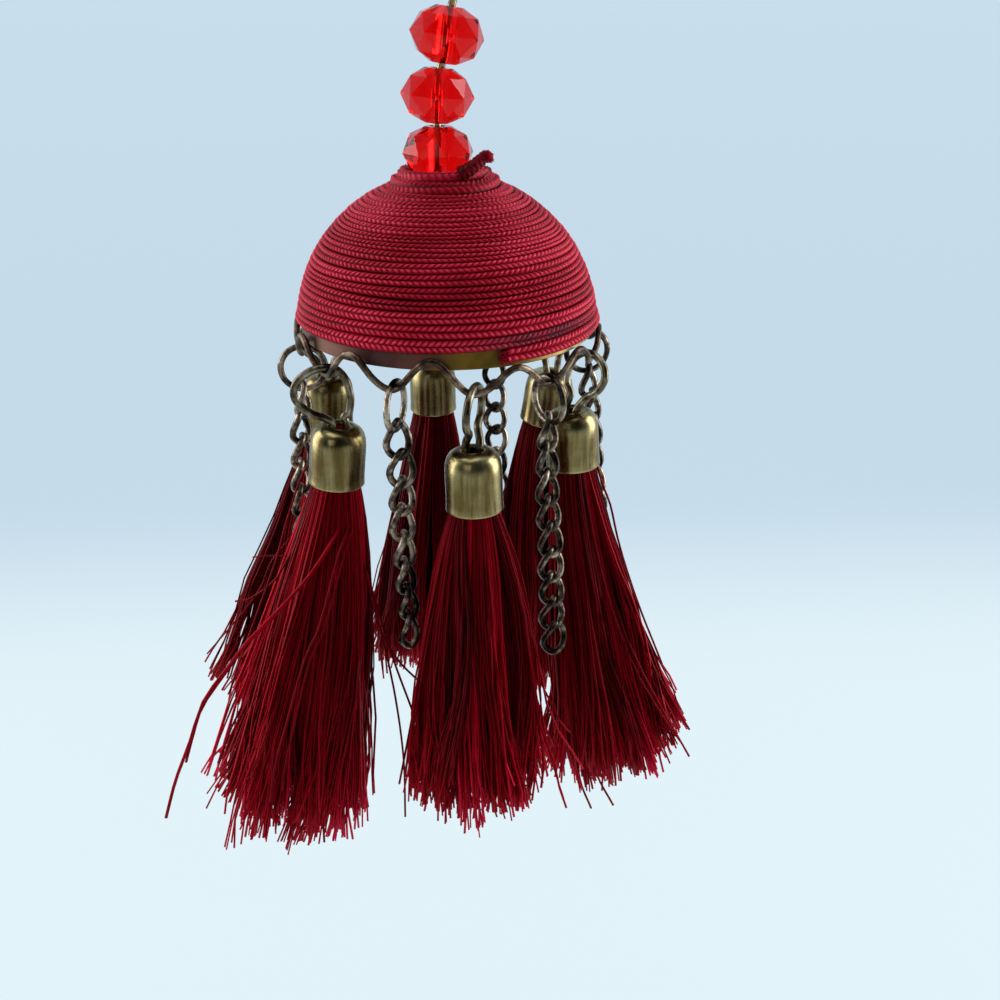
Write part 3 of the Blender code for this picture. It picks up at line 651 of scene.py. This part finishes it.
LOOP_WIRE_RADIUS = 0.45 * MM
LOOP_HEIGHT, LOOP_LEG = 6.95 * MM, 1.85 * MM
LEG_HALF_GAP = 0.75 * MM
HOOK_GAP, SETTLE = 0.42 * MM, 0.39 * MM
LOOPS = [
    # azimuth, arch_turn, leg_turn, half_mm, shoulder, bulge_mm, drop_mm, step_mm
    (-81.0, 70.0, 8.0, 2.65, -28.0, 0.0, 0.55, -0.32),
    (-21.0, -45.0, -45.0, 2.65, -30.0, 0.6, 0.40, -1.95),
    (39.0, 20.0, 20.0, 2.65, -28.0, 0.0, 1.60, 0.20),
    (99.0, -65.0, -65.0, 2.65, -28.0, 0.0, 2.00, 0.45),
    (159.0, -10.0, -10.0, 2.65, -28.0, 0.0, 0.00, 0.90),
    (-141.0, 7.0, 7.0, 3.10, -48.0, -1.1, 0.30, 1.05),
]


def teardrop(half_width, shoulder):
    """Centre line of a loop in XZ: up one leg, round, and down the other."""
    centre_z = LOOP_HEIGHT - half_width
    arc = []
    for i in range(8):
        angle = shoulder + (math.pi - 2 * shoulder) * i / 7
        arc.append(Vector((half_width * math.cos(angle), 0, centre_z + half_width * math.sin(angle))))
    neck = Vector((LEG_HALF_GAP, 0, 0))
    flank = Vector((0.75 * neck.x + 0.25 * arc[0].x, 0, 0.62 * arc[0].z))
    leg = [neck - Vector((0, 0, LOOP_LEG)), neck, flank]
    return smooth_path(leg + arc + [Vector((-point.x, 0, point.z)) for point in reversed(leg)], 5)


loop_brass = worn_metal("loop_brass", (0.030, 0.022, 0.012), (0.15, 0.115, 0.070), (0.48, 0.42, 0.30),
                        420.0, (1600.0, 1600.0, 420.0), (1.6, 0.6, 0.0), (0.24, 0.44), 0.015 * MM)
cap_tops = []
for number, row in enumerate(LOOPS, start=1):
    azimuth, arch_turn, leg_turn, half, shoulder, bulge, drop, aside = row
    step = Vector((aside * MM, 0, 0))
    above_wave = WAVE_WIRE_RADIUS + HOOK_GAP + LOOP_WIRE_RADIUS
    arch_top = wave_point(math.radians(azimuth)) + Vector((0, 0, above_wave))
    foot = arch_top + step - Vector((0, 0, LOOP_HEIGHT + drop * MM))
    path = []
    for point in teardrop(half * MM, math.radians(shoulder)):
        rise = min(1.0, max(0.0, point.z / LOOP_HEIGHT))
        swell = bulge * MM * math.sin(math.pi * max(0.0, rise - 0.08) / 0.92) ** 0.75
        longer = Vector((swell, 0, (drop * MM - SETTLE) * rise))
        turn = Matrix.Rotation(math.radians(leg_turn + (arch_turn - leg_turn) * ease(rise / 0.35)), 3, "Z")
        path.append(foot - step * rise + turn @ (point + longer))
    cap_tops.append(foot)
    add_piece(f"teardrop_loop_{number}", wire([path], LOOP_WIRE_RADIUS), loop_brass,
              "ornament", [f"tassel_loop_{number}"], 60.0)


# ---- the tassels' caps ------------------------------------------------------------------
# Thin brass cups, drawn and brushed, with a rolled hole for the loop's legs. The olive lacquer
# is rubbed through to bright metal on the shoulder and the lower edge.

CAP_HEIGHT = 7.00 * MM
CAP_PROFILE = [
    # radius_mm, below_top_mm
    (1.22, 0.62), (1.16, 0.38), (1.18, 0.16), (1.30, 0.03), (1.48, 0.0), (1.80, 0.03), (2.20, 0.14),
    (2.60, 0.42), (2.90, 0.86), (3.09, 1.45), (3.18, 2.15), (3.20, 3.0), (3.20, 4.5), (3.21, 6.0),
    (3.25, 6.7), (3.27, 6.92), (3.20, 7.0), (2.88, 7.0), (2.80, 6.85), (2.80, 2.60), (2.66, 1.75),
    (2.30, 1.05), (1.75, 0.70)]
CAP_STEPS = 56
CAP_LEANS = [(0.03, -0.04), (0.075, 0.0), (-0.14, 0.03), (0.0, 0.04), (-0.07, 0.03), (-0.11, 0.0)]

cap_brass = worn_metal("cap_brass", (0.045, 0.029, 0.009), (0.130, 0.088, 0.029), (0.40, 0.32, 0.15),
                       160.0, (800.0, 800.0, 30.0), (0.55, 0.75, 0.45), (0.20, 0.32), 0.005 * MM)
cap_axes = []
for number, (slope_x, slope_y) in enumerate(CAP_LEANS, start=1):
    axis = Vector((slope_x, slope_y, -1)).normalized()
    cap_axes.append(axis)
    bm = spun([(radius * MM, -below * MM) for radius, below in CAP_PROFILE], CAP_STEPS)
    lean = Vector((0, 0, -1)).rotation_difference(axis).to_matrix().to_4x4()
    bmesh.ops.transform(bm, matrix=Matrix.Translation(cap_tops[number - 1]) @ lean, verts=bm.verts)
    add_piece(f"drawn_cap_{number}", bm, cap_brass, "ornament", [f"tassel_cap_{number}"], 50.0)


# ---- the silk -----------------------------------------------------------------------------
# Each tassel is a bundle of crimson silk threads knotted inside its cap. They leave the cap's
# mouth packed tight, flare at once, gather in locks on the way down and end in a ragged hem.

NECK = 2.92 * MM
THREADS, THREAD_SIDES = 1400, 3
THREAD_RADII_MM = (0.10, 0.175)
STRAYS, UNEVEN_CUTS = 0.08, 0.08
# Each ring of locks: how far out it is, and how many locks it has
LOCK_RINGS = ((0.84, 17), (0.55, 9), (0.20, 4))
WISPS = 7
# Shares of the way down at which the threads and the folded heart inside them are shaped
STEPS = (-0.045, 0.0, 0.05, 0.12, 0.22, 0.34, 0.47, 0.60, 0.73, 0.85, 0.93, 1.0)
HEART_SIDES = 84
HEART_STEPS = (-0.15, -0.13, -0.08, 0.0, 0.05, 0.12, 0.22, 0.33, 0.45, 0.57, 0.67, 0.75, 0.81, 0.85, 0.87)
SKIRTS = [
    # hem_x_mm, hem_y_mm, hem_rim_mm, half_x_mm, half_y_mm, flare, gather, tilt, painted_shade_shift
    # The last column darkens the two tassels behind with painted shade and lightens the front left one with
    # painted light.
    (3.0, -20.7, -52.6, 8.2, 6.8, 2.6, 0.95, 0.0, 0.0),
    (22.3, -9.0, -57.0, 8.5, 7.3, 0.4, 0.95, -0.09, 0.0),
    (14.5, 14.0, -58.5, 7.2, 7.0, 1.3, 1.0, 0.0, -0.16),
    (-4.8, 21.0, -59.5, 8.4, 7.0, 1.3, 1.0, 0.0, -0.15),
    (-25.0, 9.5, -57.5, 8.5, 7.5, 1.3, 1.0, 0.0, 0.0),
    (-21.3, -15.0, -59.0, 10.9, 7.3, 1.3, 0.91, 0.05, 0.03),
]


def silk_yarn(name):
    """Glossy crimson silk: fine fibres along each thread, threads of many tones, and the painted light and
    shade that its shade attribute carries.
    """
    material = new_material(name, IOR=1.22, Metallic=0.30, Specular_Tint=(1.0, 0.25, 0.35, 1.0))
    shade = add_node(material, "Attribute", {"attribute_name": "shade"}).outputs["Fac"]
    strand = add_node(material, "Attribute", {"attribute_name": "strand"}).outputs["Vector"]
    fibre = noise(material, strand, 1.0, 3.0, 0.62)
    twist = noise(material, mapped(material, (1.0, 1.0, 0.30)), 3200.0, 2.0)
    fine = mixed_in(material, twist, 0.16, mixed_in(material, fibre, 0.38, shade))
    colour = colour_ramp(material, fine, [
        (0.22, (0.022, 0.0001, 0.0006)), (0.55, (0.20, 0.0004, 0.0036)), (0.85, (0.44, 0.0014, 0.012)),
        (1.0, (0.66, 0.012, 0.045))])
    drive(material, Base_Color=colour, Roughness=ranged(material, twist, 0.3, 0.7, 0.40, 0.62),
          Normal=relief(material, fibre, 0.12 * MM, 0.7))
    return material


crimson_silk = silk_yarn("crimson_silk")


def thread_rows(path, radius, sides, start):
    """Rows of points round one thread that runs mostly downwards."""
    rows, last = [], len(path) - 1
    for i, centre in enumerate(path):
        along = (path[min(i + 1, last)] - path[max(i - 1, 0)]).normalized()
        side = along.cross(Vector((0.31, 0.95, 0.02))).normalized()
        other = along.cross(side)
        thick = radius * min(1.0, 0.70 + 0.10 * i)
        angles = [start + math.tau * k / sides for k in range(sides)]
        rows.append([centre + thick * (side * math.cos(angle) + other * math.sin(angle)) for angle in angles])
    return rows


def spread(share, rate):
    """How far the silk has flared at a share of the way down, the sooner for a higher rate."""
    return (1 - math.exp(-rate * share)) / (1 - math.exp(-rate))


for number, row in enumerate(SKIRTS, start=1):
    hem_x, hem_y, hem_rim, half_x, half_y, flare, hem_gather, tilt, painted_shade_shift = row
    draw = random.Random(40 + number)
    axis = cap_axes[number - 1]
    throat = cap_tops[number - 1] + axis * CAP_HEIGHT
    hem = at_rim(hem_x * MM, hem_y * MM, hem_rim * MM)
    full = (hem - throat).length
    lean = hem - throat - axis * full
    wide, deep = half_x * MM * hem_gather, half_y * MM
    phase = 1.7 * number

    def silk_point(share, x, y, slip):
        """A point of the bundle from its place across it, both -1 to 1, and share of the way down."""
        down = max(share, 0.0)
        angle = math.atan2(y, x)
        lobe = 1 + down * (0.07 * math.cos(5 * angle + phase) + 0.05 * math.cos(8 * angle - 2 * phase))
        centre = throat + axis * full * share * slip + lean * down ** 1.4
        return centre + lobe * Vector(((NECK + (wide - NECK) * spread(down, flare)) * x,
                                       (NECK + (deep - NECK) * spread(down, 1.2)) * y, 0.0))

    locks = []
    for ring, count in LOCK_RINGS:
        for k in range(count):
            angle = math.tau * (k + draw.uniform(-0.4, 0.4)) / count
            reach = ring * draw.uniform(0.88, 1.1)
            locks.append({
                "x": reach * math.cos(angle), "y": reach * math.sin(angle),
                "drift": (draw.gauss(0, 0.13), draw.gauss(0, 0.12)),
                "bow": (draw.gauss(0, 0.09), draw.gauss(0, 0.08)),
                "slip": draw.gauss(0.975, 0.014), "shade": draw.gauss(0.0, 0.115),
                "pull": draw.uniform(0.16, 0.58),
                "wisps": [(draw.gauss(0, 0.13), draw.gauss(0, 0.13), draw.gauss(1.0, 0.022),
                           draw.uniform(0, math.tau), draw.uniform(6.0, 15.0), draw.uniform(0.02, 0.085))
                          for _ in range(WISPS)],
            })
    rows, shades, strands = [], [], []
    for thread in range(THREADS):
        angle, reach = draw.uniform(0, math.tau), 0.91 * draw.random() ** 0.40
        x0, y0 = reach * math.cos(angle), reach * math.sin(angle)
        lock = min(locks, key=lambda k: (k["x"] - x0) ** 2 + (k["y"] - y0) ** 2 + draw.uniform(0, 0.05))
        wisp_x, wisp_y, wisp_slip, wave, rate, sway = draw.choice(lock["wisps"])
        own_x, own_y = draw.gauss(0, 0.016), draw.gauss(0, 0.016)
        stray = draw.random() < STRAYS
        roam_x, roam_y = (draw.gauss(0, 0.23), draw.gauss(0, 0.23)) if stray else (0.0, 0.0)
        slip = lock["slip"] * wisp_slip * draw.gauss(1.0, 0.009) * (0.955 if stray else 1.0)
        if draw.random() < UNEVEN_CUTS:
            slip += draw.uniform(-0.09, 0.055)
        slip = min(slip, 1.045) * (1.0 + tilt * x0)
        wave += draw.gauss(0, 0.30)
        sway *= draw.uniform(0.7, 1.2)
        curl_x, curl_y = draw.gauss(0, 0.04), draw.gauss(0, 0.04)
        path = []
        for share in STEPS:
            s = max(share, 0.0)
            gather = lock["pull"] * s ** 0.9
            late = s ** 2.2
            x = x0 + (lock["x"] - x0) * gather
            y = y0 + (lock["y"] - y0) * gather
            x += (wisp_x + lock["drift"][0]) * late + lock["bow"][0] * math.sin(math.pi * s)
            y += (wisp_y + lock["drift"][1]) * late + lock["bow"][1] * math.sin(math.pi * s)
            x += own_x * s + roam_x * s ** 1.5 + sway * s * math.sin(wave + rate * s)
            y += own_y * s + roam_y * s ** 1.5 + sway * s * math.cos(1.3 * wave + rate * s)
            x += curl_x * s ** 9 + draw.gauss(0, 0.011) * s
            y += curl_y * s ** 9 + draw.gauss(0, 0.011) * s
            path.append(silk_point(share, x, y, slip))
        radius = MM * draw.uniform(*THREAD_RADII_MM)
        rows += thread_rows(path, radius, THREAD_SIDES, draw.uniform(0, 1.5))
        # Painted light and shade: inner threads darker, a random tone for each lock that paints dark furrows
        # between locks, and lighter towards the hem where light gets through.
        tone = min(0.60, max(-0.15, 0.05 + painted_shade_shift + 0.16 * reach + lock["shade"] + draw.gauss(0, 0.04)))
        shades += [[tone + 0.14 * max(share, 0) + 0.24 * max(share, 0) ** 6] * THREAD_SIDES
                   for share in STEPS]
        strands += [[Vector((1.7 * thread + 0.4 * k, 9.0 * share, 0.0)) for k in range(THREAD_SIDES)]
                    for share in STEPS]
    add_piece(f"silk_threads_{number}", lay_rows(rows, {"shade": shades, "strand": strands}, len(STEPS)),
              crimson_silk, "ornament", [f"tassel_silk_{number}"], 180.0)

    # The heart's colour is painted shade: a dark body standing in for the shade inside the bundle, darker
    # still in its folds.
    rows, shades, strands = [], [], []
    for share in HEART_STEPS:
        s = max(share, 0.0)
        size = (0.86 - 0.28 * ease(share / 0.60)) if share > -0.14 else 0.3
        size *= 1.0 if share < 0.66 else 1.0 - 2.6 * (share - 0.66)
        row, shade, strand = [], [], []
        for k in range(HEART_SIDES):
            angle = math.tau * k / HEART_SIDES
            fold = (math.cos(7 * angle + phase + 1.6 * s) + 0.7 * math.cos(12 * angle - phase - 2.1 * s)
                    + 0.6 * math.cos(19 * angle + 2 * phase + 1.1 * s))
            out = size * (1.0 + 0.055 * min(1.0, 2.5 * s) * fold)
            row.append(silk_point(share, out * math.cos(angle), out * math.sin(angle), 1.0))
            shade.append(0.12 + painted_shade_shift + 0.07 * fold)
            strand.append(Vector((110.0 * k / HEART_SIDES, 3.0 * share, 3.0)))
        rows.append(row)
        shades.append(shade)
        strands.append(strand)
    add_piece(f"silk_heart_{number}", lay_rows(rows, {"shade": shades, "strand": strands}), crimson_silk,
              "ornament", [], 180.0)

# Single strands and one thick lock that have worked loose, each from its own tassel
LOOSE_POINTS, LOOSE_SIDES = 25, 8
THICK_LOCK = 0.165
LOOSE_STRANDS = [
    # tassel, radius_mm, then x, y, height above the rim
    (6, 0.21, (-12.4, -13.2, -18.7), (-15.2, -16.4, -23.0), (-18.2, -17.8, -26.3),
     (-21.3, -18.8, -29.3), (-23.9, -19.4, -31.8), (-26.1, -19.8, -34.6), (-29.6, -20.2, -39.4),
     (-31.7, -20.5, -44.8), (-34.1, -20.7, -50.5), (-35.9, -20.9, -56.0)),
    (6, 0.17, (-12.8, -13.1, -19.0), (-15.6, -16.3, -23.5), (-18.5, -17.6, -26.8),
     (-21.5, -18.5, -29.9), (-24.2, -19.1, -32.4), (-26.4, -19.5, -35.4), (-29.8, -19.9, -40.2),
     (-31.4, -20.2, -44.4), (-32.6, -20.3, -48.0)),
    (6, 0.16, (-11.8, -13.3, -19.0), (-13.2, -16.8, -22.7), (-15.4, -19.2, -29.9),
     (-17.3, -20.2, -33.8), (-19.7, -21.6, -41.3), (-21.5, -22.3, -47.0), (-22.6, -22.6, -52.5)),
    (6, 0.14, (-11.5, -13.4, -19.2), (-12.7, -17.0, -23.2), (-14.9, -19.4, -30.2),
     (-16.9, -20.4, -34.4), (-18.9, -21.7, -41.6), (-20.4, -22.3, -47.4), (-21.0, -22.5, -51.0)),
    (6, 0.10, (-16.5, -12.4, -24.2), (-18.2, -12.0, -25.1), (-20.0, -11.5, -24.8), (-22.1, -11.0, -25.0),
     (-24.0, -10.5, -25.4)),
    (6, 0.13, (-19.4, -12.3, -24.5), (-21.4, -12.0, -27.8), (-24.6, -11.5, -30.5), (-26.6, -11.0, -31.2)),
    (6, 0.09, (-22.0, -9.5, -26.5), (-23.6, -9.0, -30.1), (-25.4, -9.0, -32.8), (-27.8, -9.2, -35.7),
     (-31.3, -9.5, -39.7)),
    (6, 0.13, (-11.0, -11.5, -23.0), (-10.0, -13.0, -28.9), (-8.6, -14.0, -34.7), (-6.7, -14.5, -38.3),
     (-4.4, -15.0, -40.9)),
    (1, 0.14, (-0.8, -17.6, -25.0), (-2.8, -17.0, -33.6), (-4.5, -17.5, -40.4), (-6.1, -18.0, -48.4),
     (-7.2, -18.5, -53.9)),
    (6, 0.14, (-10.4, -12.0, -27.5), (-8.7, -13.0, -36.0), (-7.4, -14.5, -44.0), (-6.7, -15.5, -52.6),
     (-6.8, -16.0, -61.5)),
    (6, 0.14, (-9.6, -12.4, -30.0), (-7.6, -13.8, -38.0), (-5.4, -15.2, -45.0), (-3.6, -16.3, -51.0)),
    (2, 0.14, (17.3, -6.3, -14.8), (18.5, -6.5, -18.2), (19.6, -7.2, -20.9), (20.6, -7.8, -25.1),
     (22.0, -8.2, -29.7), (24.0, -8.6, -35.3), (25.7, -9.0, -39.5), (27.2, -9.2, -43.2)),
    (2, 0.15, (17.2, -6.6, -14.8), (18.1, -7.0, -20.3), (19.9, -8.0, -26.1), (22.2, -9.0, -33.5),
     (25.1, -10.0, -41.2), (28.6, -10.5, -48.1), (31.2, -11.0, -52.6)),
    (6, 0.13, (-16.4, -11.0, -13.4), (-18.7, -12.5, -18.2), (-20.8, -13.0, -24.5), (-23.4, -13.5, -31.0),
     (-26.2, -14.0, -37.8), (-28.0, -14.0, -42.6)),
    (6, 0.15, (-16.0, -19.0, -42.0), (-16.4, -20.0, -48.6), (-16.7, -20.5, -54.4), (-16.8, -21.0, -60.7)),
    (2, 0.15, (15.3, -11.8, -46.0), (15.8, -12.0, -53.0), (16.6, -12.5, -59.3), (18.2, -13.0, -63.8)),
    (2, 0.15, (17.0, -11.8, -46.0), (17.8, -12.0, -53.1), (18.9, -12.5, -58.6), (21.2, -13.0, -63.4)),
]
rows, shades, strands = [], [], []
for number, (tassel, radius, *places) in enumerate(LOOSE_STRANDS):
    path = [at_rim(x * MM, y * MM, z * MM) for x, y, z in places]
    mouth = cap_tops[tassel - 1] + cap_axes[tassel - 1] * CAP_HEIGHT
    root = path[0].lerp(mouth, min(1.0, 5.0 * MM / (path[0] - mouth).length))
    path = smooth_path([root] + path, 5)
    path = [path[round(i * (len(path) - 1) / (LOOSE_POINTS - 1))] for i in range(LOOSE_POINTS)]
    rows += thread_rows(path, radius * MM, LOOSE_SIDES, 0.0)
    tone = 0.24 + 0.16 * (radius > THICK_LOCK)
    shades += [[tone + 0.05 * math.sin(0.7 * i + number)] * LOOSE_SIDES for i in range(LOOSE_POINTS)]
    strands += [[Vector((3.1 * number + 0.9 * k, 0.5 * i, 9.0)) for k in range(LOOSE_SIDES)]
                for i in range(LOOSE_POINTS)]
add_piece("loose_strands", lay_rows(rows, {"shade": shades, "strand": strands}, LOOSE_POINTS), crimson_silk,
          "ornament", [], 180.0)


# ---- the jump rings and chains ---------------------------------------------------------------
# A bronze ring hangs in every other trough but one and carries a short length of curb chain, each
# oval link twisted so that the chain lies flat. The brown finish is rubbed to tan in patches.

RING_WIRE_RADIUS, RING_RADIUS = 0.375 * MM, 2.625 * MM
LINK_PITCH, LINK_WIRE_RADIUS = 3.40 * MM, 0.415 * MM
LINK_HALF_WIDTH, LINK_HALF_LENGTH = 1.33 * MM, 2.115 * MM
RING_STEPS, LINK_STEPS = 40, 28
LINK_LAP, CURB_TWIST, UNDER_RING = 0.82 * MM, math.radians(42.0), 0.30 * MM
CHAINS = [
    # azimuth, ring_turn, links, top_x_mm, foot_x_mm, turn_top, turn_foot
    (-109.3, 71.0, 8, 0.20, 0.40, 10.0, 80.0),
    (-51.0, -58.0, 9, -0.20, 1.35, 56.0, 6.0),
    (9.0, 8.0, 8, 0.60, 2.65, 60.0, 40.0),
    (69.0, 40.0, 8, 0.00, 0.45, 10.0, -20.0),
    (-171.0, 8.0, 8, -0.50, -2.20, 75.0, 40.0),
]

chain_bronze = worn_metal("chain_bronze", (0.013, 0.009, 0.006), (0.092, 0.066, 0.047), (0.50, 0.40, 0.30),
                          330.0, (1300.0, 1300.0, 1300.0), (2.2, 0.7, 0.0), (0.26, 0.48), 0.015 * MM)
for number, row in enumerate(CHAINS, start=1):
    azimuth, ring_turn, links, top_x, foot_x, turn_top, turn_foot = row
    draw = random.Random(70 + number)
    hooked = wave_point(math.radians(azimuth))
    centre = hooked + Vector((0, 0, WAVE_WIRE_RADIUS + HOOK_GAP - SETTLE + RING_WIRE_RADIUS - RING_RADIUS))
    turn = Matrix.Rotation(math.radians(ring_turn), 3, "Z")
    angles = [math.tau * i / RING_STEPS for i in range(RING_STEPS)]
    ring = [centre + turn @ (RING_RADIUS * Vector((math.cos(angle), 0, math.sin(angle)))) for angle in angles]
    add_piece(f"round_ring_{number}", wire([ring], RING_WIRE_RADIUS, True, 2), chain_bronze,
              "ornament", [f"jump_ring_{number}"], 60.0)
    ring_foot = centre - Vector((0, 0, RING_RADIUS))
    under_ring = ring_foot - Vector((0, 0, RING_WIRE_RADIUS + UNDER_RING))
    head = under_ring + Vector((top_x * MM, 0, 0))
    foot = under_ring + Vector((foot_x * MM, 0, -LINK_PITCH * links))
    loops = []
    for link in range(links):
        share = (link + 0.5) / links
        middle = head.lerp(foot, share) + Vector((draw.gauss(0, 0.08), draw.gauss(0, 0.08), 0)) * MM
        if link == 0:
            middle.x, middle.y = 0.5 * (middle.x + ring_foot.x), 0.5 * (middle.y + ring_foot.y)
        middle.z = ring_foot.z - LINK_HALF_LENGTH + LINK_LAP - LINK_PITCH * link
        facing = math.radians(turn_top + (turn_foot - turn_top) * share + draw.gauss(0, 5.0))
        tip = math.radians(draw.gauss(0, 3.0))
        oval = []
        for i in range(LINK_STEPS):
            angle = math.tau * i / LINK_STEPS
            x, z = LINK_HALF_WIDTH * math.cos(angle), LINK_HALF_LENGTH * math.sin(angle)
            if number == 1 and link == links - 1:
                x, z = 1.15 * x * abs(math.cos(angle)) ** 0.5, z * (1.0 if z > 0 else 1.35)
            curb = facing + CURB_TWIST * z / LINK_HALF_LENGTH
            oval.append(middle + Vector((x * math.cos(curb) + z * math.sin(tip), x * math.sin(curb), z)))
        loops.append(oval)
    add_piece(f"curb_links_{number}", wire(loops, LINK_WIRE_RADIUS, True, 2), chain_bronze,
              "ornament", [f"curb_chain_{number}"], 60.0)
